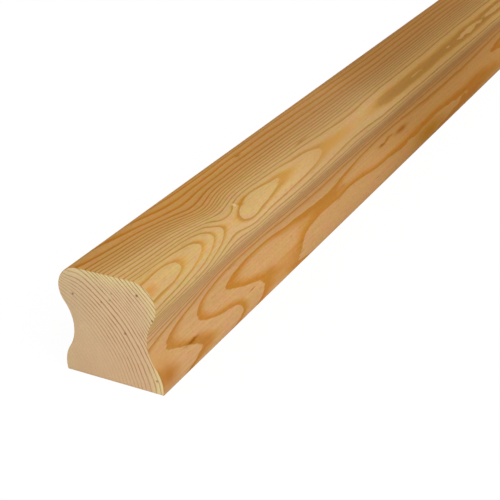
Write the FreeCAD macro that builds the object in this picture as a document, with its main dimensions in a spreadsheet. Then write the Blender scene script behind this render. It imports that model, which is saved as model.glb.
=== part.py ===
import FreeCAD, Part
import enum
import math
import os
import Sketcher

# One straight length of moulded softwood handrail, planed from a single piece of timber.
# It lies along X on its flat underside, with +Z up and the origin at the middle of the underside.
# The section runs unchanged from end to end: a roll for the hand with a flat crown, a neck on each
# side for the fingers, and a flank that flares out again to the lip above the flat underside.
# Each side is one smooth line of four arcs: roll, neck, flank and lip.

DRIVING_SIZES = {
    "rail_length": 2400,
    "roll_width": 57.5,
    "roll_radius": 13.25,
    "neck_depth": 6.75,
    "neck_rise": 21,
    "flank_rise": 24.25,
    "lip_flare": 7.5,
    "lip_radius": 20,
    "lip_height": 3.5,
}

# The section's widths and levels, worked out from the driving sizes.
ROLL_HALF = "Sizes.roll_width / 2"
WAIST_HALF = f"{ROLL_HALF} - Sizes.neck_depth"
LIP_HALF = f"{WAIST_HALF} + Sizes.lip_flare"
WAIST_LEVEL = "Sizes.lip_height + Sizes.flank_rise"
RAIL_HEIGHT = f"{WAIST_LEVEL} + Sizes.neck_rise + Sizes.roll_radius"

SIDES = {"right": 1, "left": -1}
SECTION_NORMAL = FreeCAD.Vector(0, 0, 1)


class SketchAxis(enum.IntEnum):
    """The axes that every sketch has, by Sketcher's own codes."""

    LEVEL = -1


class SketchPoint(enum.IntEnum):
    """The points of a line or an arc, by Sketcher's own codes."""

    START = 1
    END = 2
    CENTRE = 3


ORIGIN = (SketchAxis.LEVEL, SketchPoint.START)


def add_sizes(document):
    """Put the driving sizes on a sheet, each under its own name."""
    sheet = document.addObject("Spreadsheet::Sheet", "Sizes")
    for row, (name, value) in enumerate(DRIVING_SIZES.items(), start=1):
        sheet.set(f"A{row}", name)
        sheet.set(f"B{row}", str(value))
        sheet.setAlias(f"B{row}", name)
    document.recompute()
    return {name: float(sheet.get(name)) for name in DRIVING_SIZES}


def ogee_radii_sum(spread, rise):
    """Add up the radii of two arcs that meet in an S and are both upright at their far ends."""
    return (spread**2 + rise**2) / (2 * spread)


def side_arcs(size):
    """Give each arc of the right side, from the crown down: centre, radius, upper and lower angle."""
    roll_half = size["roll_width"] / 2
    waist_half = roll_half - size["neck_depth"]
    lip_half = waist_half + size["lip_flare"]
    waist_level = size["lip_height"] + size["flank_rise"]
    roll_level = waist_level + size["neck_rise"]
    upper_sum = ogee_radii_sum(size["neck_depth"], size["neck_rise"])
    lower_sum = ogee_radii_sum(size["lip_flare"], size["flank_rise"])
    neck_radius = upper_sum - size["roll_radius"]
    flank_radius = lower_sum - size["lip_radius"]
    neck_turn = math.atan2(size["neck_rise"], upper_sum - size["neck_depth"])
    flank_turn = math.atan2(size["flank_rise"], lower_sum - size["lip_flare"])
    lip_turn = math.asin(size["lip_height"] / size["lip_radius"])
    return {
        "roll": (
            (roll_half - size["roll_radius"], roll_level),
            size["roll_radius"],
            math.pi / 2,
            -neck_turn,
        ),
        "neck": (
            (waist_half + neck_radius, waist_level),
            neck_radius,
            math.pi - neck_turn,
            math.pi,
        ),
        "flank": (
            (waist_half + flank_radius, waist_level),
            flank_radius,
            math.pi,
            math.pi + flank_turn,
        ),
        "lip": (
            (lip_half - size["lip_radius"], size["lip_height"]),
            size["lip_radius"],
            flank_turn,
            -lip_turn,
        ),
    }


def add_arc(section, side, centre, radius, upper_angle, lower_angle):
    """Draw one arc and return it with its upper and its lower end."""
    across, level = centre
    if side < 0:
        upper_angle = math.pi - upper_angle
        lower_angle = math.pi - lower_angle
    circle = Part.Circle(FreeCAD.Vector(side * across, level, 0), SECTION_NORMAL, radius)
    first, last = sorted((upper_angle, lower_angle))
    arc = section.addGeometry(Part.ArcOfCircle(circle, first, last))
    ends = (SketchPoint.START, SketchPoint.END)
    upper_end, lower_end = reversed(ends) if upper_angle > lower_angle else ends
    return arc, upper_end, lower_end


def add_level_line(section, half_width, level):
    """Draw a level line across the section, from its left end to its right end."""
    left = FreeCAD.Vector(-half_width, level, 0)
    right = FreeCAD.Vector(half_width, level, 0)
    return section.addGeometry(Part.LineSegment(left, right))


def dimension(section, name, expression, kind, *references):
    """Add a dimension and bind it to the sheet."""
    index = section.addConstraint(Sketcher.Constraint(kind, *references))
    section.renameConstraint(index, name)
    section.setExpression(f"Constraints.{name}", expression)


def distance_from_middle(side, point, across):
    """Order the two points of a level dimension so that it is positive on either side."""
    points = (*ORIGIN, *point) if side > 0 else (*point, *ORIGIN)
    return (*points, across)


def add_side(section, size, side_name, crown, base):
    """Draw one side of the section, join it to the crown and the base, and dimension it."""
    side = SIDES[side_name]
    line_end = SketchPoint.END if side > 0 else SketchPoint.START
    arcs = side_arcs(size)
    above = (crown, line_end)
    drawn = {}
    for arc_name, (centre, radius, upper_angle, lower_angle) in arcs.items():
        arc, upper_end, lower_end = add_arc(section, side, centre, radius, upper_angle, lower_angle)
        section.addConstraint(Sketcher.Constraint("Tangent", *above, arc, upper_end))
        above = (arc, lower_end)
        drawn[arc_name] = above
    section.addConstraint(Sketcher.Constraint("Coincident", *above, base, line_end))
    section.addConstraint(Sketcher.Constraint("PointOnObject", base, line_end, SketchAxis.LEVEL))

    roll, _ = drawn["roll"]
    waist = drawn["neck"]
    neck, _ = drawn["neck"]
    lip, _ = drawn["lip"]
    roll_centre = (roll, SketchPoint.CENTRE)
    neck_centre = (neck, SketchPoint.CENTRE)
    lip_centre = (lip, SketchPoint.CENTRE)
    section.addConstraint(Sketcher.Constraint("Horizontal", *waist, *neck_centre))
    roll_across, _ = arcs["roll"][0]
    lip_across, lip_level = arcs["lip"][0]
    waist_across = size["roll_width"] / 2 - size["neck_depth"]
    waist_level = size["lip_height"] + size["flank_rise"]
    dimension(section, f"roll_radius_{side_name}", "Sizes.roll_radius", "Radius", roll, size["roll_radius"])
    dimension(
        section,
        f"roll_centre_{side_name}",
        f"{ROLL_HALF} - Sizes.roll_radius",
        "DistanceX",
        *distance_from_middle(side, roll_centre, roll_across),
    )
    dimension(
        section,
        f"waist_half_{side_name}",
        WAIST_HALF,
        "DistanceX",
        *distance_from_middle(side, waist, waist_across),
    )
    dimension(section, f"waist_level_{side_name}", WAIST_LEVEL, "DistanceY", *ORIGIN, *waist, waist_level)
    dimension(section, f"lip_radius_{side_name}", "Sizes.lip_radius", "Radius", lip, size["lip_radius"])
    dimension(
        section,
        f"lip_centre_{side_name}",
        f"{LIP_HALF} - Sizes.lip_radius",
        "DistanceX",
        *distance_from_middle(side, lip_centre, lip_across),
    )
    dimension(
        section,
        f"lip_level_{side_name}",
        "Sizes.lip_height",
        "DistanceY",
        *ORIGIN,
        *lip_centre,
        lip_level,
    )


def add_section(body, size):
    """Draw the whole section on the plane across the rail."""
    cross_plane = next(plane for plane in body.Origin.OriginFeatures if plane.Role == "YZ_Plane")
    section = body.newObject("Sketcher::SketchObject", "Section")
    section.AttachmentSupport = [(cross_plane, "")]
    section.MapMode = "FlatFace"

    arcs = side_arcs(size)
    crown_half, roll_level = arcs["roll"][0]
    rail_height = roll_level + size["roll_radius"]
    lip_across, _ = arcs["lip"][0]
    base_half = lip_across + math.sqrt(size["lip_radius"] ** 2 - size["lip_height"] ** 2)
    crown = add_level_line(section, crown_half, rail_height)
    base = add_level_line(section, base_half, 0)
    section.addConstraint(Sketcher.Constraint("Horizontal", crown))
    crown_start = (crown, SketchPoint.START)
    dimension(section, "rail_height", RAIL_HEIGHT, "DistanceY", *ORIGIN, *crown_start, rail_height)
    for side_name in SIDES:
        add_side(section, size, side_name, crown, base)
    return section


def add_handrail(document, size):
    """Run the section out to the rail's length, half of it to each side of the origin."""
    body = document.addObject("PartDesign::Body", "Handrail")
    body.Label = "handrail"
    body.Placement = FreeCAD.Placement()
    section = add_section(body, size)
    moulding = body.newObject("PartDesign::Pad", "Moulding")
    moulding.Profile = section
    moulding.SideType = "Symmetric"
    moulding.setExpression("Length", "Sizes.rail_length")
    document.recompute()
    if not section.FullyConstrained:
        raise RuntimeError("the section is not held by its sizes")
    return body


def check_objects(document):
    """Stop where any object of the document failed to build."""
    for item in document.Objects:
        if {"Invalid", "Error"} & set(item.State):
            raise RuntimeError(f"{item.Label} failed to build: {item.State}")


def write_part(body):
    """Write one sound solid under the name of its body."""
    shape = body.Shape
    if shape.isNull() or not shape.isValid() or len(shape.Solids) != 1:
        raise RuntimeError(f"{body.Label} is not one sound solid")
    shape.exportStep(os.path.join("parts", f"{body.Label}.step"))


document = FreeCAD.newDocument("handrail_length")
size = add_sizes(document)
handrail = add_handrail(document, size)
check_objects(document)
os.makedirs("parts", exist_ok=True)
write_part(handrail)
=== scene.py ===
import math

import bmesh
import bpy
from mathutils import Matrix, Quaternion, Vector


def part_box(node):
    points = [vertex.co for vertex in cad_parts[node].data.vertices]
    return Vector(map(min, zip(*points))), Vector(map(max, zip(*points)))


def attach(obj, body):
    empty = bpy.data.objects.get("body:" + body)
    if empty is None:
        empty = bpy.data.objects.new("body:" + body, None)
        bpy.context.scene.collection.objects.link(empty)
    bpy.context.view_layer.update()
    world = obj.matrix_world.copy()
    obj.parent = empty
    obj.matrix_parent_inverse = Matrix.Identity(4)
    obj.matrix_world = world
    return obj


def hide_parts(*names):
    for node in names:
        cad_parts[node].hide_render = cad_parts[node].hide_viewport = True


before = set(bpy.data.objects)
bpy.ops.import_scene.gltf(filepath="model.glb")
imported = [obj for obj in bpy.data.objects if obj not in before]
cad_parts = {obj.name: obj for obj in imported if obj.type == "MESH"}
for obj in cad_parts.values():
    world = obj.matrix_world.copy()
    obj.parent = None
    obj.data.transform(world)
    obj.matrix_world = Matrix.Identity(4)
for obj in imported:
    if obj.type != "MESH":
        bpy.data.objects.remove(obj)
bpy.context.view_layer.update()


# The handrail's form
# One straight length of pine, planed in a moulder to a grip with a flat crown, a roll on each side,
# a neck for the fingers below it, and flanks that flare to a lip over the flat underside.
# Nothing is fixed to it: both ends are sawn square, and every arris is just eased.
low_corner, high_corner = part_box("handrail")
near_end = low_corner[0]
rail_length = high_corner[0] - near_end
rail_height = high_corner[2]
roll_width = 0.0575
roll_radius = 0.01325
neck_depth = 0.00675
neck_rise = 0.021
flank_rise = 0.02425
lip_flare = 0.0075
lip_radius = 0.020
lip_height = 0.0035
arris_ease = 0.0003
ease_steps = 2
roll_steps = 22
neck_steps = 9
lip_steps = 10
cuts_along = 11
join_gap = 1e-6
end_facing = 0.99
sharp_corner = math.radians(40)

crown_half = roll_width / 2 - roll_radius
waist_half = roll_width / 2 - neck_depth
lip_half = waist_half + lip_flare
waist_level = lip_height + flank_rise
upper_radii = (neck_depth**2 + neck_rise**2) / (2 * neck_depth)
lower_radii = (lip_flare**2 + flank_rise**2) / (2 * lip_flare)
neck_radius = upper_radii - roll_radius
flank_radius = lower_radii - lip_radius
neck_turn = math.atan2(neck_rise, upper_radii - neck_depth)
flank_turn = math.atan2(flank_rise, lower_radii - lip_flare)
lip_turn = math.asin(lip_height / lip_radius)


def draw_to(mesh, pen, across, level):
    """Draw a straight line of the section from the pen's point."""
    pen = bmesh.ops.extrude_vert_indiv(mesh, verts=[pen])["verts"][0]
    pen.co = (near_end, -across, level)
    return pen


def draw_arc(mesh, pen, across, level, turn, steps):
    """Draw an arc of the section from the pen's point, about the given centre."""
    swept = bmesh.ops.spin(
        mesh,
        geom=[pen],
        cent=(near_end, -across, level),
        axis=(1, 0, 0),
        angle=turn,
        steps=steps,
        use_merge=False,
        use_duplicate=False,
    )
    return swept["geom_last"][0]


rail_mesh = bmesh.new()
pen = bmesh.ops.create_vert(rail_mesh, co=(near_end, 0, rail_height))["vert"][0]
pen = draw_to(rail_mesh, pen, crown_half, rail_height)
pen = draw_arc(rail_mesh, pen, crown_half, rail_height - roll_radius, math.pi / 2 + neck_turn, roll_steps)
pen = draw_arc(rail_mesh, pen, waist_half + neck_radius, waist_level, -neck_turn, neck_steps)
pen = draw_arc(rail_mesh, pen, waist_half + flank_radius, waist_level, -flank_turn, neck_steps)
pen = draw_arc(rail_mesh, pen, lip_half - lip_radius, lip_height, flank_turn + lip_turn, lip_steps)
draw_to(rail_mesh, pen, 0, 0)
bmesh.ops.mirror(
    rail_mesh,
    geom=rail_mesh.verts[:] + rail_mesh.edges[:],
    matrix=Matrix.Identity(4),
    merge_dist=join_gap,
    axis="Y",
)
bmesh.ops.remove_doubles(rail_mesh, verts=rail_mesh.verts, dist=join_gap)
section = bmesh.ops.edgeloop_fill(rail_mesh, edges=rail_mesh.edges)["faces"]
drawn_out = bmesh.ops.extrude_face_region(rail_mesh, geom=section, use_keep_orig=True)["geom"]
bmesh.ops.translate(
    rail_mesh,
    verts=[part for part in drawn_out if isinstance(part, bmesh.types.BMVert)],
    vec=(rail_length, 0, 0),
)
bmesh.ops.recalc_face_normals(rail_mesh, faces=rail_mesh.faces)


def is_end(face):
    """Tell whether a face lies in one of the sawn ends."""
    return abs(face.normal.x) > end_facing


def is_arris(edge):
    """Tell whether an edge is a sharp corner of the rail."""
    return edge.calc_face_angle(0) > sharp_corner


def lies_along(edge):
    """Tell whether an edge runs along the rail."""
    return abs(edge.verts[0].co.x - edge.verts[1].co.x) > rail_length / 2


bmesh.ops.bevel(
    rail_mesh,
    geom=[edge for edge in rail_mesh.edges if is_arris(edge)],
    offset=arris_ease,
    offset_type="OFFSET",
    affect="EDGES",
    segments=ease_steps,
    profile=0.5,
    material=-1,
)
bmesh.ops.subdivide_edges(
    rail_mesh,
    edges=[edge for edge in rail_mesh.edges if lies_along(edge)],
    cuts=cuts_along,
)


# The rail's picture map
# The planed faces lie on it as one sheet, opened along the middle of the underside.
# The two sawn ends lie beside that sheet.
PLANED, SAWN = 0, 1
sheet_share = 0.78
sheet_gap = 0.02
end_scale = 2.9
near_middle, far_middle = 0.25, 0.75
smooth_limit = math.radians(30)
picture_map = rail_mesh.loops.layers.uv.new("OFBake")


def round_section(place, side):
    """Tell how far round the section a place lies, from the middle of the underside."""
    turn = math.atan2(abs(place.y), rail_height / 2 - place.z) / (2 * math.pi)
    return turn if side > 0 else 1 - turn


for face in rail_mesh.faces:
    middle = face.calc_center_median()
    face.smooth = True
    face.material_index = SAWN if is_end(face) else PLANED
    for loop in face.loops:
        place = loop.vert.co
        if is_end(face):
            along = (near_middle if middle.x < 0 else far_middle) + place.y * end_scale
            loop[picture_map].uv = (along, sheet_share + sheet_gap + place.z * end_scale)
        else:
            along = (place.x - near_end) / rail_length
            loop[picture_map].uv = (along, sheet_share * round_section(place, middle.y))

rail_data = bpy.data.meshes.new("handrail_length")
rail_mesh.to_mesh(rail_data)
rail_mesh.free()
rail_data.set_sharp_from_angle(angle=smooth_limit)
rail = bpy.data.objects.new("handrail_length", rail_data)
bpy.context.scene.collection.objects.link(rail)
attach(rail, "root")
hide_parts("handrail")


# The timber's growth rings
# Pine sawn from beside the heart of the stem: the rings' centre lies below the rail, to its left.
# The rings sink along the rail and bulge round a small branch, so the planed faces cut them to flames.
pith = (0, 0.0592, -0.0126)
figure_end = 0.36
sink_range = 0.012
ring_sink = [
    (0.000, 0.0000),
    (0.040, 0.0038),
    (0.080, 0.0084),
    (0.110, 0.0093),
    (0.150, 0.0081),
    (0.200, 0.0069),
    (0.260, 0.0071),
    (0.340, 0.0082),
    (figure_end, 0.0082),
]
inner_radius = 0.016
outer_radius = 0.115
most_rings = 52
rings_by_radius = [
    (inner_radius, 1.5),
    (0.0750, 29),
    (0.0794, 31),
    (0.0877, 34),
    (0.0914, 36),
    (0.0959, 39),
    (0.1039, 43),
    (0.1100, 46),
    (outer_radius, 47.5),
]
# A swell's middle is measured along from the near end, across and up.
# Its reach along the rail, its reach round it and its lift follow.
ring_swells = {
    "shoulder": ((0.087, -0.020, 0.061), 0.054, 0.0114, 0.0035),
    "lip": ((0.073, -0.030, 0.004), 0.028, 0.0174, 0.00345),
    "far waist": ((0.291, -0.022, 0.025), 0.052, 0.007, -0.0022),
    "branch": ((0.082, -0.014, 0.0625), 0.0177, 0.0207, -0.0047),
    "branch crease": ((0.083, -0.0204, 0.0611), 0.014, 0.0022, -0.0011),
    "near flame": ((0.019, -0.025, 0.060), 0.0146, 0.007, 0.0020),
    "behind the branch": ((0.096, -0.0275, 0.0545), 0.016, 0.0079, 0.0014),
    "crown": ((0.102, 0.0, 0.0604), 0.080, 0.0315, 0.0039),
    "left roll": ((0.022, 0.0247, 0.0598), 0.080, 0.007, 0.0042),
    "far shoulder": ((0.228, -0.025, 0.0545), 0.061, 0.0183, -0.0023),
    "near foot": ((0.004, -0.0292, 0.0065), 0.0085, 0.0085, -0.0013),
    "lens": ((0.107, -0.0247, 0.0586), 0.0110, 0.0042, -0.0006),
    "lens tip": ((0.143, -0.0215, 0.0597), 0.0100, 0.0030, 0.0004),
    "far lip": ((0.345, -0.0293, 0.0020), 0.0500, 0.0055, 0.0011),
    "third tongue": ((0.148, -0.0277, 0.0100), 0.0140, 0.0065, -0.0007),
    "third tongue's tip": ((0.153, -0.0252, 0.0168), 0.0080, 0.0045, -0.0004),
    "far waist's near end": ((0.238, -0.0232, 0.0205), 0.0160, 0.0035, -0.0009),
    "far waist's foot": ((0.285, -0.0258, 0.0150), 0.0260, 0.0050, -0.0007),
    "far bridge": ((0.219, -0.0252, 0.0160), 0.0100, 0.0040, -0.0004),
    "second hook": ((0.111, -0.0275, 0.0128), 0.0090, 0.0036, 0.00034),
}
later_branches = {
    "right roll": (0.740, -0.0259, 0.0569),
    "crown": (1.180, 0.0060, 0.0620),
    "left flank": (1.620, 0.0234, 0.0199),
    "right lip": (2.060, -0.0290, 0.0080),
}
branch_reach = (0.022, 0.016, 0.016)
branch_dip = -0.0042
wander_start, wander_full = 0.30, 0.60
wander_depth = 0.014
wander_pace = (2.6, 11, 11)
wobble_pace = (24, 90, 90)
wobble_rings = 0.45
ragged_pace = (45, 500, 500)
ragged_rings = 0.12
noise_middle = 0.5


def feed(tree, socket, value):
    """Link a value into a socket, or set it there if it is plain."""
    if isinstance(value, bpy.types.NodeSocket):
        tree.links.new(value, socket)
    else:
        socket.default_value = value


def add_node(tree, kind, settings=None, inputs=None):
    """Add a node, set its settings, and give each named input a value or a link."""
    node = tree.nodes.new(kind)
    for name, value in (settings or {}).items():
        setattr(node, name, value)
    for name, value in (inputs or {}).items():
        feed(tree, node.inputs[name], value)
    return node


def calculate(tree, operation, *values):
    """Add one step of arithmetic and return its result."""
    step = add_node(tree, "ShaderNodeMath", {"operation": operation})
    for socket, value in zip(step.inputs, values):
        feed(tree, socket, value)
    return step.outputs["Value"]


def calculate_vector(tree, operation, *values, result="Vector"):
    """Add one step of vector arithmetic and return its result."""
    step = add_node(tree, "ShaderNodeVectorMath", {"operation": operation})
    for socket, value in zip(step.inputs, values):
        feed(tree, socket, value)
    return step.outputs[result]


def rescale(tree, value, start, end, low=0.0, high=1.0, way="LINEAR"):
    """Turn a value between start and end into one between low and high."""
    step = add_node(
        tree,
        "ShaderNodeMapRange",
        {"interpolation_type": way},
        {"Value": value, "From Min": start, "From Max": end, "To Min": low, "To Max": high},
    )
    return step.outputs["Result"]


def follow_curve(tree, value, points, height=1.0):
    """Read a smooth curve through a few points and return how high it stands there."""
    start, end = points[0][0], points[-1][0]
    curve = add_node(tree, "ShaderNodeFloatCurve", inputs={"Value": rescale(tree, value, start, end)})
    line = curve.mapping.curves[0]
    while len(line.points) < len(points):
        line.points.new(0.5, 0.5)
    for spot, (place, level) in zip(line.points, points):
        spot.location = ((place - start) / (end - start), level / height)
    curve.mapping.update()
    return calculate(tree, "MULTIPLY", curve.outputs["Value"], height)


def noise(tree, place, pace, detail=2.0, result="Fac"):
    """Read cloudy noise that changes at its own pace along, across and up the rail."""
    stretched = calculate_vector(tree, "MULTIPLY", place, pace)
    clouds = add_node(
        tree,
        "ShaderNodeTexNoise",
        inputs={"Vector": stretched, "Scale": 1.0, "Detail": detail},
    )
    return clouds.outputs[result]


def swing(tree, place, pace, detail=2.0):
    """Read cloudy noise that swings to either side of nought."""
    return calculate(tree, "SUBTRACT", noise(tree, place, pace, detail), noise_middle)


def new_group(name, inputs, outputs):
    """Make a shader node group and return it with its two ends."""
    group = bpy.data.node_groups.new(name, "ShaderNodeTree")
    for socket_name, kind in inputs.items():
        group.interface.new_socket(socket_name, in_out="INPUT", socket_type=kind)
    for socket_name, kind in outputs.items():
        group.interface.new_socket(socket_name, in_out="OUTPUT", socket_type=kind)
    return group, group.nodes.new("NodeGroupInput"), group.nodes.new("NodeGroupOutput")


def place_group(tree, group, inputs):
    """Place a node group in a tree with its own values."""
    return add_node(tree, "ShaderNodeGroup", {"node_tree": group}, inputs)


NUMBER, VECTOR = "NodeSocketFloat", "NodeSocketVector"
spot_group, spot_in, spot_out = new_group(
    "Soft spot",
    {"Place": VECTOR, "Middle": VECTOR, "Reach": VECTOR, "Height": NUMBER},
    {"Height": NUMBER},
)
offset = calculate_vector(spot_group, "SUBTRACT", spot_in.outputs["Place"], spot_in.outputs["Middle"])
steps_off = calculate_vector(spot_group, "DIVIDE", offset, spot_in.outputs["Reach"])
spread = calculate_vector(spot_group, "DOT_PRODUCT", steps_off, steps_off, result="Value")
fade = calculate(spot_group, "EXPONENT", calculate(spot_group, "MULTIPLY", spread, -1.0))
spot_height = calculate(spot_group, "MULTIPLY", fade, spot_in.outputs["Height"])
feed(spot_group, spot_out.inputs["Height"], spot_height)


def soft_spot(tree, place, middle, reach, height=1.0):
    """Read a rounded spot about a middle that is measured from the rail's near end."""
    spot = place_group(
        tree,
        spot_group,
        {
            "Place": place,
            "Middle": (near_end + middle[0], middle[1], middle[2]),
            "Reach": reach,
            "Height": height,
        },
    )
    return spot.outputs["Height"]


rings_group, rings_in, rings_out = new_group(
    "Growth rings",
    {"Place": VECTOR},
    {"Year": NUMBER, "Ring": NUMBER, "Radius": NUMBER, "Along": NUMBER},
)
place = rings_in.outputs["Place"]
from_pith = calculate_vector(rings_group, "SUBTRACT", place, pith)
across_stem = calculate_vector(rings_group, "MULTIPLY", from_pith, (0, 1, 1))
radius = calculate_vector(rings_group, "LENGTH", across_stem, result="Value")
along = calculate(
    rings_group,
    "SUBTRACT",
    add_node(rings_group, "ShaderNodeSeparateXYZ", inputs={"Vector": place}).outputs["X"],
    near_end,
)
sink = follow_curve(rings_group, along, ring_sink, sink_range)
radius = calculate(rings_group, "SUBTRACT", radius, sink)
for middle, along_reach, round_reach, lift in ring_swells.values():
    swell = soft_spot(rings_group, place, middle, (along_reach, round_reach, round_reach), lift)
    radius = calculate(rings_group, "ADD", radius, swell)
for middle in later_branches.values():
    dip = soft_spot(rings_group, place, middle, branch_reach, branch_dip)
    radius = calculate(rings_group, "ADD", radius, dip)
wander_share = rescale(rings_group, along, wander_start, wander_full, 0.0, wander_depth, "SMOOTHSTEP")
wander = swing(rings_group, place, wander_pace, detail=1.0)
radius = calculate(rings_group, "MULTIPLY_ADD", wander, wander_share, radius)
ring = follow_curve(rings_group, radius, rings_by_radius, most_rings)
for pace, depth in ((wobble_pace, wobble_rings), (ragged_pace, ragged_rings)):
    ring = calculate(rings_group, "MULTIPLY_ADD", swing(rings_group, place, pace), depth, ring)
feed(rings_group, rings_out.inputs["Along"], along)
feed(rings_group, rings_out.inputs["Radius"], radius)
feed(rings_group, rings_out.inputs["Ring"], calculate(rings_group, "FLOOR", ring))
feed(rings_group, rings_out.inputs["Year"], calculate(rings_group, "FRACT", ring))


# The planed faces
# Pale early wood turns orange and ends in a dark line of late wood at each ring's outer edge.
# The inner rings are warmer heartwood, and the crown has ambered a little in the light.
# The planer has cut fibres and resin canals open, and they show as fine streaks along the rail.
turning_by_year = [(0.00, 0.25), (0.05, 0.00), (0.50, 0.04), (0.68, 0.62), (0.84, 1.00), (1.00, 1.00)]
late_by_year = [(0.00, 0.35), (0.04, 0.00), (0.66, 0.02), (0.80, 0.42), (0.93, 0.95), (1.00, 0.92)]
early_by_radius = {
    0.040: (198, 151, 95),
    0.070: (203, 157, 102),
    0.080: (204, 159, 105),
    0.088: (200, 157, 109),
    0.093: (204, 167, 121),
    0.099: (209, 174, 124),
    0.108: (207, 174, 121),
}
turning_by_radius = {
    0.040: (199, 142, 68),
    0.076: (201, 144, 71),
    0.086: (195, 141, 75),
    0.093: (189, 145, 91),
    0.099: (205, 159, 94),
    0.108: (209, 163, 91),
}
late_by_radius = {
    0.040: (183, 122, 36),
    0.076: (190, 127, 38),
    0.086: (183, 123, 51),
    0.093: (163, 118, 66),
    0.099: (173, 131, 75),
    0.108: (175, 133, 76),
}
faintest_late = 0.55
# Where the lines of late wood are fainter or stronger: the middle, the reach and the share lost or gained.
late_changes = {
    "near flame": ((0.048, -0.0266, 0.0562), (0.028, 0.0050, 0.0050), -0.75),
    "lens": ((0.118, -0.0240, 0.0586), (0.030, 0.0060, 0.0050), -0.35),
    "lens tip": ((0.148, -0.0225, 0.0592), (0.016, 0.0050, 0.0040), -0.60),
    "far flame": ((0.202, -0.0260, 0.0552), (0.026, 0.0050, 0.0060), -0.70),
    "far crown": ((0.240, 0.0050, 0.0620), (0.080, 0.0220, 0.0100), -0.38),
    "third tongue": ((0.140, -0.0280, 0.0100), (0.012, 0.0060, 0.0060), -0.45),
    "far bridge": ((0.212, -0.0243, 0.0180), (0.030, 0.0050, 0.0050), -0.28),
    "near flame's foot": ((0.018, -0.0276, 0.0533), (0.018, 0.0040, 0.0040), 0.60),
}
first_season = 44
amber_shade = (248, 233, 183)
amber_low, amber_high = 0.048, 0.060
sapwood_start, sapwood_full = 0.092, 0.100
sapwood_amber = 0.40
full_late = 0.6
early_amber, late_amber = 0.8, 1.4
amber_fade_start, amber_fade_end = 0.11, 0.27
far_amber = 0.2
# Painted shade: the wood darkens from a tenth of a metre to nearly half a metre along, standing for light
# that falls off there; further on a lighter share of it stays, and comes and goes in patches.
painted_far_shade = (207, 193, 156)
painted_shade_by_place = [
    (0.00, 0.00),
    (0.10, 0.00),
    (0.18, 0.18),
    (0.27, 0.40),
    (0.40, 0.84),
    (0.47, 0.85),
    (0.80, 0.40),
    (1.30, 0.25),
    (rail_length, 0.40),
]
painted_shade_patches = 0.5
patch_start, patch_full = 0.45, 0.70
patch_pace = (2.4, 9, 9)
cloud_pace, cloud_depth = (7, 60, 60), 0.05
fibre_pace, fibre_depth = (14, 1400, 1400), 0.07
grit_pace, grit_depth = (420, 900, 900), 0.065
noise_low, noise_high = 0.25, 0.75
canal_pace = (90, 2100, 2100)
canal_low, canal_high = 0.70, 0.78
canal_shade = (216, 190, 156)
tint_pace = (90, 260, 260)
tint_low, tint_high = 0.3, 0.7
rosy_tint = (255, 246, 252)
green_tint = (249, 255, 242)
early_roughness, late_roughness = 0.64, 0.52
planed_gloss = 0.02
planed_relief, planed_relief_strength = 0.00008, 0.5


def srgb(red, green, blue):
    """Turn a colour as a screen shows it, 0 to 255, into the shader's linear values."""
    shares = [channel / 255 for channel in (red, green, blue)]
    linear = [((share + 0.055) / 1.055) ** 2.4 for share in shares]
    return (*linear, 1.0)


def blend(tree, factor, first, second, way="MIX"):
    """Blend two colours by a factor that changes over the surface."""
    mix = add_node(tree, "ShaderNodeMix", {"data_type": "RGBA", "blend_type": way})
    feed(tree, mix.inputs["Factor"], factor)
    sides = [socket for socket in mix.inputs if socket.type == "RGBA"]
    for side, colour in zip(sides, (first, second)):
        feed(tree, side, colour)
    return next(socket for socket in mix.outputs if socket.type == "RGBA")


def grade(tree, value, colours):
    """Read a colour that grades from one to the next as a value rises."""
    places = list(colours)
    start, end = places[0], places[-1]
    ramp = add_node(tree, "ShaderNodeValToRGB", inputs={"Fac": rescale(tree, value, start, end)})
    stops = ramp.color_ramp.elements
    while len(stops) < len(places):
        stops.new(0.5)
    for stop, at in zip(stops, places):
        stop.position = (at - start) / (end - start)
    for stop, at in zip(stops, places):
        stop.color = srgb(*colours[at])
    return ramp.outputs["Color"]


def mottle(tree, colour, speckles):
    """Lighten and darken a colour by noises, each to its own depth."""
    for speckle, depth in speckles:
        light = rescale(tree, speckle, noise_low, noise_high, 1.0 - depth, 1.0 + depth)
        colour = calculate_vector(tree, "MULTIPLY", colour, light)
    return colour


def tinge(tree, colour, place, pace, first, second):
    """Vary a colour a little between two faint tints."""
    share = rescale(tree, noise(tree, place, pace), tint_low, tint_high)
    return calculate_vector(tree, "MULTIPLY", colour, blend(tree, share, srgb(*first), srgb(*second)))


def start_material(name):
    """Start a material with its shader, and with the rings at each point of the timber."""
    material = bpy.data.materials.new(name)
    material.use_nodes = True
    tree = material.node_tree
    place = add_node(tree, "ShaderNodeTexCoord").outputs["Object"]
    rings = place_group(tree, rings_group, {"Place": place})
    return material, tree, tree.nodes["Principled BSDF"], place, rings


def raise_relief(tree, shader, height, depth, strength):
    """Give a surface a fine relief of its own."""
    relief = add_node(
        tree,
        "ShaderNodeBump",
        inputs={"Height": height, "Distance": depth, "Strength": strength},
    )
    feed(tree, shader.inputs["Normal"], relief.outputs["Normal"])


planed, tree, shader, place, rings = start_material("Planed pine")
radius = rings.outputs["Radius"]
along = rings.outputs["Along"]
year = rings.outputs["Year"]
late = follow_curve(tree, year, late_by_year)
seasons = calculate(tree, "ADD", rings.outputs["Ring"], first_season)
season = add_node(tree, "ShaderNodeTexWhiteNoise", {"noise_dimensions": "1D"}, {"W": seasons})
season_late = rescale(tree, season.outputs["Value"], 0.0, 1.0, faintest_late, 1.0)
late = calculate(tree, "MULTIPLY", late, season_late)
for middle, reach, change in late_changes.values():
    kept = calculate(tree, "ADD", soft_spot(tree, place, middle, reach, change), 1.0)
    late = calculate(tree, "MULTIPLY", late, kept)
turning = follow_curve(tree, year, turning_by_year)
colour = blend(tree, turning, grade(tree, radius, early_by_radius), grade(tree, radius, turning_by_radius))
colour = blend(tree, late, colour, grade(tree, radius, late_by_radius))
level = add_node(tree, "ShaderNodeSeparateXYZ", inputs={"Vector": place}).outputs["Z"]
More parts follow.
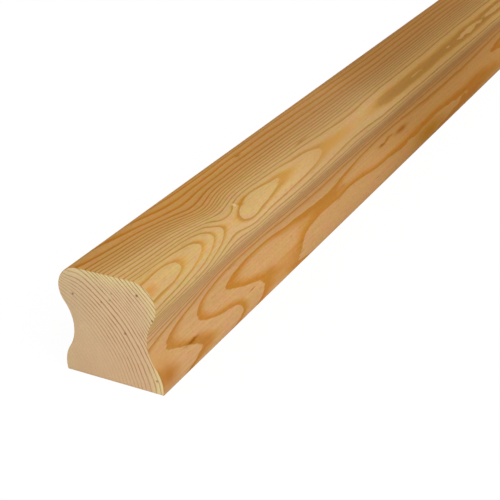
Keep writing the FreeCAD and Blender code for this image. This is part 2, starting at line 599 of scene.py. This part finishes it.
amber = rescale(tree, level, amber_low, amber_high, way="SMOOTHSTEP")
for share in (
    rescale(tree, radius, sapwood_start, sapwood_full, 1.0, sapwood_amber, "SMOOTHSTEP"),
    rescale(tree, late, 0.0, full_late, early_amber, late_amber),
    rescale(tree, along, amber_fade_start, amber_fade_end, 1.0, far_amber),
):
    amber = calculate(tree, "MULTIPLY", amber, share)
colour = blend(tree, amber, colour, srgb(*amber_shade), "MULTIPLY")
clouds = noise(tree, place, cloud_pace)
# Painted shade toward the far end, with patches of it further along the rail.
patches = swing(tree, place, patch_pace, detail=1.0)
patch_share = rescale(tree, along, patch_start, patch_full, 0.0, painted_shade_patches)
painted_shade = calculate(tree, "MULTIPLY_ADD", patches, patch_share, follow_curve(tree, along, painted_shade_by_place))
colour = blend(tree, painted_shade, colour, srgb(*painted_far_shade), "MULTIPLY")
fibres = noise(tree, place, fibre_pace)
grit = noise(tree, place, grit_pace)
colour = mottle(tree, colour, ((clouds, cloud_depth), (fibres, fibre_depth), (grit, grit_depth)))
colour = tinge(tree, colour, place, tint_pace, rosy_tint, green_tint)
canals = rescale(tree, noise(tree, place, canal_pace, detail=1.0), canal_low, canal_high)
colour = blend(tree, canals, colour, srgb(*canal_shade), "MULTIPLY")


# Knots and resin
# A branch no thicker than a matchstick has left a pin knot on the right shoulder, and others further along.
# Resin has bled into the wood as streaks and blotches near the right side's foot and at the near end; the
# foot's blotch reaches down to the bottom edge as painted shade.
# Here and there the wood itself has grown a little warmer or paler, and the far shoulder is darkened with
# painted shade.
pin_knot = (184, 126, 38)
knot_heart = (126, 66, 20)
knot_ring = (184, 112, 40)
pale_fleck = (222, 192, 134)
resin = (146, 84, 8)
resin_stain = (176, 115, 50)
amber_stain = (199, 134, 62)
warm_wood = (196, 140, 72)
pale_wood = (206, 156, 100)
painted_shade_wood = (186, 142, 88)
orange_wood = (192, 139, 60)
dark_stain = (150, 98, 10)
# Each mark's middle and reach, its shade and its strength.
marks = {
    "pin knot": ((0.0985, -0.0208, 0.0609), (0.0030, 0.0014, 0.0014), pin_knot, 1.2),
    "pin knot's tail": ((0.1040, -0.0195, 0.0614), (0.0036, 0.0009, 0.0009), pin_knot, 0.9),
    "fleck by the knot": ((0.0950, -0.0190, 0.0615), (0.0011, 0.0014, 0.0014), pale_fleck, 1.0),
    "crown fleck": ((0.1550, 0.0119, 0.0620), (0.0026, 0.0009, 0.0009), dark_stain, 0.8),
    "crown streak": ((0.1905, -0.0124, 0.0620), (0.0070, 0.0007, 0.0007), resin_stain, 1.0),
    "resin streak": ((0.0326, -0.0270, 0.0132), (0.0060, 0.0007, 0.0007), resin, 1.3),
    "far resin streak": ((0.2950, -0.0227, 0.0220), (0.0060, 0.0010, 0.0010), resin, 1.0),
    "second far streak": ((0.3290, -0.0226, 0.0214), (0.0110, 0.0018, 0.0018), resin, 1.0),
    # The far shoulder's mark is painted shade, carrying on the darkening toward the far end.
    "far shoulder": ((0.2050, -0.0245, 0.0570), (0.0550, 0.0120, 0.0100), painted_shade_wood, 0.34),
    "lens's warm tip": ((0.1500, -0.0238, 0.0591), (0.0120, 0.0024, 0.0024), orange_wood, 0.60),
    "far flame's warm tip": ((0.2130, -0.0256, 0.0573), (0.0260, 0.0026, 0.0034), orange_wood, 0.65),
    "pale wood by the lip": ((0.1370, -0.0291, 0.0070), (0.0140, 0.0045, 0.0045), pale_wood, 0.35),
    "second hook's bloom": ((0.1185, -0.0277, 0.0121), (0.0050, 0.0026, 0.0026), resin_stain, 0.50),
    "warm wood by the foot": ((0.0030, -0.0255, 0.0160), (0.0130, 0.0100, 0.0100), warm_wood, 0.40),
    # The foot blotch is partly resin and partly painted shade along the bottom edge.
    "foot blotch with painted shade": ((0.0062, -0.0288, 0.0085), (0.0076, 0.0060, 0.0058), resin_stain, 1.0),
    "shoulder blotch": ((0.0022, -0.0252, 0.0577), (0.0052, 0.0026, 0.0026), amber_stain, 0.75),
    "far blotch": ((0.3700, -0.0293, 0.0065), (0.0300, 0.0060, 0.0060), dark_stain, 0.9),
}
knot_ring_reach, knot_ring_strength = (0.0070, 0.0042, 0.0042), 0.8
knot_heart_reach, knot_heart_strength = (0.0022, 0.0018, 0.0018), 1.2
for name, middle in later_branches.items():
    marks[f"{name} knot's ring"] = (middle, knot_ring_reach, knot_ring, knot_ring_strength)
    marks[f"{name} knot"] = (middle, knot_heart_reach, knot_heart, knot_heart_strength)
fray_pace = (350, 700, 700)
fray_depth = (0.0024, 0.0012, 0.0012)


def fray(tree, place, pace, depth):
    """Shift a place unevenly, to give what is drawn there a ragged edge."""
    clouds = noise(tree, place, pace, result="Color")
    shift = calculate_vector(tree, "SUBTRACT", clouds, (noise_middle, noise_middle, noise_middle))
    return calculate_vector(tree, "MULTIPLY_ADD", shift, depth, place)


frayed = fray(tree, place, fray_pace, fray_depth)
for middle, reach, shade, strength in marks.values():
    colour = blend(tree, soft_spot(tree, frayed, middle, reach, strength), colour, srgb(*shade))
feed(tree, shader.inputs["Base Color"], colour)
feed(tree, shader.inputs["Roughness"], rescale(tree, late, 0.0, 1.0, early_roughness, late_roughness))
shader.inputs["Specular IOR Level"].default_value = planed_gloss
fibres_and_lines = calculate(tree, "ADD", fibres, late)
raise_relief(tree, shader, fibres_and_lines, planed_relief, planed_relief_strength)
rail_data.materials.append(planed)


# The sawn ends
# The same timber cut square across its fibres, left raw: paler and drier, with the rings as fine lines.
# The wood under the planed skin has dried to a yellower rim, and open resin canals are dark specks.
end_late_by_year = [(0.00, 0.35), (0.08, 0.00), (0.62, 0.03), (0.80, 0.70), (0.92, 1.00), (1.00, 0.85)]
end_by_level = {0.012: (213, 181, 142), 0.050: (219, 191, 151)}
end_late = (156, 97, 50)
end_rim = (225, 206, 152)
faint_radius, clear_radius = 0.056, 0.078
faintest_line = 0.16
left_fade_start, left_fade_end = 0.006, 0.026
left_line = 0.6
foot_fade_level = 0.018
foot_line = 0.5
line_pace = (0, 130, 130)
broken_low, broken_high = 0.3, 0.7
broken_line = 0.45
rim_depth = 0.0090
rim_fade_start, rim_fade_end = 0.008, 0.026
left_rim = 0.2
end_speck = (120, 62, 44)
speck_depth = 0.004
# Each speck's middle, its reach and its strength.
specks = {
    "right shoulder": ((0.0, -0.0184, 0.0544), 0.0007, 1.0),
    "left roll": ((0.0, 0.0202, 0.0465), 0.0006, 0.9),
    "middle": ((0.0, -0.0093, 0.0310), 0.0006, 0.9),
    "right roll": ((0.0, -0.0261, 0.0423), 0.0006, 0.8),
    "under the crown": ((0.0, -0.0035, 0.0520), 0.0005, 0.6),
    "left of middle": ((0.0, 0.0032, 0.0457), 0.0005, 0.6),
    "upper middle": ((0.0, -0.0020, 0.0480), 0.0005, 0.6),
    "right lip": ((0.0, -0.0258, 0.0077), 0.0006, 0.8),
}
pore_pace, pore_depth = (900, 1500, 1500), 0.10
end_cloud_pace, end_cloud_depth = (60, 160, 160), 0.03
end_tint_pace = (60, 330, 330)
end_rosy = (255, 248, 250)
end_green = (253, 255, 248)
end_roughness = 0.85
end_gloss = 0.15
end_relief, end_relief_strength = 0.0001, 0.4
sawn, tree, shader, place, rings = start_material("Sawn end grain")
late = follow_curve(tree, rings.outputs["Year"], end_late_by_year)
radius = rings.outputs["Radius"]
spread = add_node(tree, "ShaderNodeSeparateXYZ", inputs={"Vector": place}).outputs
for share in (
    rescale(tree, radius, faint_radius, clear_radius, faintest_line, 1.0, "SMOOTHSTEP"),
    rescale(tree, spread["Y"], left_fade_start, left_fade_end, 1.0, left_line),
    rescale(tree, spread["Z"], 0.0, foot_fade_level, foot_line, 1.0),
    rescale(tree, noise(tree, place, line_pace), broken_low, broken_high, broken_line, 1.0),
):
    late = calculate(tree, "MULTIPLY", late, share)
beyond_crown = calculate(tree, "SUBTRACT", calculate(tree, "ABSOLUTE", spread["Y"]), crown_half)
above_roll = calculate(tree, "SUBTRACT", spread["Z"], rail_height - roll_radius)
beyond_crown = calculate(tree, "MAXIMUM", beyond_crown, 0.0)
above_roll = calculate(tree, "MAXIMUM", above_roll, 0.0)
from_middle = calculate(
    tree,
    "SQRT",
    calculate(tree, "MULTIPLY_ADD", beyond_crown, beyond_crown, calculate(tree, "POWER", above_roll, 2.0)),
)
rim = rescale(tree, from_middle, roll_radius - rim_depth, roll_radius, 0.0, 1.0, "SMOOTHSTEP")
rim_share = rescale(tree, spread["Y"], rim_fade_start, rim_fade_end, 1.0, left_rim)
rim = calculate(tree, "MULTIPLY", rim, rim_share)
colour = blend(tree, rim, grade(tree, spread["Z"], end_by_level), srgb(*end_rim))
colour = blend(tree, late, colour, srgb(*end_late))
pores = noise(tree, place, pore_pace)
clouds = noise(tree, place, end_cloud_pace)
colour = mottle(tree, colour, ((pores, pore_depth), (clouds, end_cloud_depth)))
colour = tinge(tree, colour, place, end_tint_pace, end_rosy, end_green)
for middle, reach, strength in specks.values():
    speck = soft_spot(tree, place, middle, (speck_depth, reach, reach), strength)
    colour = blend(tree, speck, colour, srgb(*end_speck))
feed(tree, shader.inputs["Base Color"], colour)
shader.inputs["Roughness"].default_value = end_roughness
shader.inputs["Specular IOR Level"].default_value = end_gloss
raise_relief(tree, shader, pores, end_relief, end_relief_strength)
rail_data.materials.append(sawn)


# The studio
# A plain matt floor, painted pale, that the rail lies on, under an even white sky.
# A broad soft lamp stands high over the near end, to the right, and a weak one low on the far left.
# The floor glows where the camera sees it, so that it shows white and still keeps the rail's shadow.
floor_half = 12.0
floor_shade = (0.8, 0.8, 0.8, 1.0)
white = (1.0, 1.0, 1.0, 1.0)
sky_light = 0.5
glow_share = 0.92
glow_strength = 1.03


def seen_directly(tree):
    """Tell whether a ray comes from the camera, or from it by way of a mirror or glass."""
    ray = add_node(tree, "ShaderNodeLightPath").outputs
    mirrored = calculate(tree, "MAXIMUM", ray["Is Glossy Ray"], ray["Is Transmission Ray"])
    return calculate(tree, "MAXIMUM", ray["Is Camera Ray"], mirrored)


floor_mesh = bmesh.new()
bmesh.ops.create_grid(floor_mesh, x_segments=1, y_segments=1, size=floor_half)
floor_data = bpy.data.meshes.new("floor")
floor_mesh.to_mesh(floor_data)
floor_mesh.free()
floor = bpy.data.objects.new("floor", floor_data)
bpy.context.scene.collection.objects.link(floor)

floor_paint = bpy.data.materials.new("Pale floor")
floor_paint.use_nodes = True
tree = floor_paint.node_tree
tree.nodes.clear()
matt = add_node(tree, "ShaderNodeBsdfDiffuse", inputs={"Color": floor_shade})
glow = add_node(tree, "ShaderNodeEmission", inputs={"Color": white, "Strength": glow_strength})
share = calculate(tree, "MULTIPLY", seen_directly(tree), glow_share)
surface = add_node(tree, "ShaderNodeMixShader", inputs={"Fac": share})
matt_side, glow_side = [socket for socket in surface.inputs if socket.type == "SHADER"]
feed(tree, matt_side, matt.outputs["BSDF"])
feed(tree, glow_side, glow.outputs["Emission"])
add_node(tree, "ShaderNodeOutputMaterial", inputs={"Surface": surface.outputs["Shader"]})
floor_data.materials.append(floor_paint)

world = bpy.data.worlds.new("studio")
bpy.context.scene.world = world
world.use_nodes = True
tree = world.node_tree
sky = tree.nodes["Background"]
sky.inputs["Color"].default_value = white
feed(tree, sky.inputs["Strength"], rescale(tree, seen_directly(tree), 0.0, 1.0, sky_light, 1.0))

lamp_softness = math.radians(60)
# The way each lamp shines, and its strength.
lamps = {
    "key": ((0.45, 0.62, -0.64), 1.9),
    "fill": ((-0.40, -0.90, -0.20), 0.15),
}
for name, (direction, strength) in lamps.items():
    lamp_data = bpy.data.lights.new(name, "SUN")
    lamp_data.energy = strength
    lamp_data.angle = lamp_softness
    lamp = bpy.data.objects.new(name, lamp_data)
    lamp.rotation_euler = Vector(direction).to_track_quat("-Z", "Y").to_euler()
    bpy.context.scene.collection.objects.link(lamp)


# The camera
# It stands before the near end, above the rail and to its right, and looks down along it.
# Its place, its aim and its long lens give the photograph's view.
camera_place = Vector((near_end - 0.38529, -0.29922, 0.32076))
camera_aim = Vector((near_end + 0.10364, -0.02285, 0.031))
camera_roll = math.radians(-2.401)
film_width = 36.0
lens_length = 82.09
camera_data = bpy.data.cameras.new("camera")
camera_data.sensor_width = film_width
camera_data.lens = lens_length
camera = bpy.data.objects.new("camera", camera_data)
camera.location = camera_place
level_view = (camera_aim - camera_place).to_track_quat("-Z", "Y")
camera.rotation_euler = (level_view @ Quaternion((0, 0, 1), camera_roll)).to_euler()
bpy.context.scene.collection.objects.link(camera)
bpy.context.scene.camera = camera
bpy.context.scene.view_settings.view_transform = "Standard"
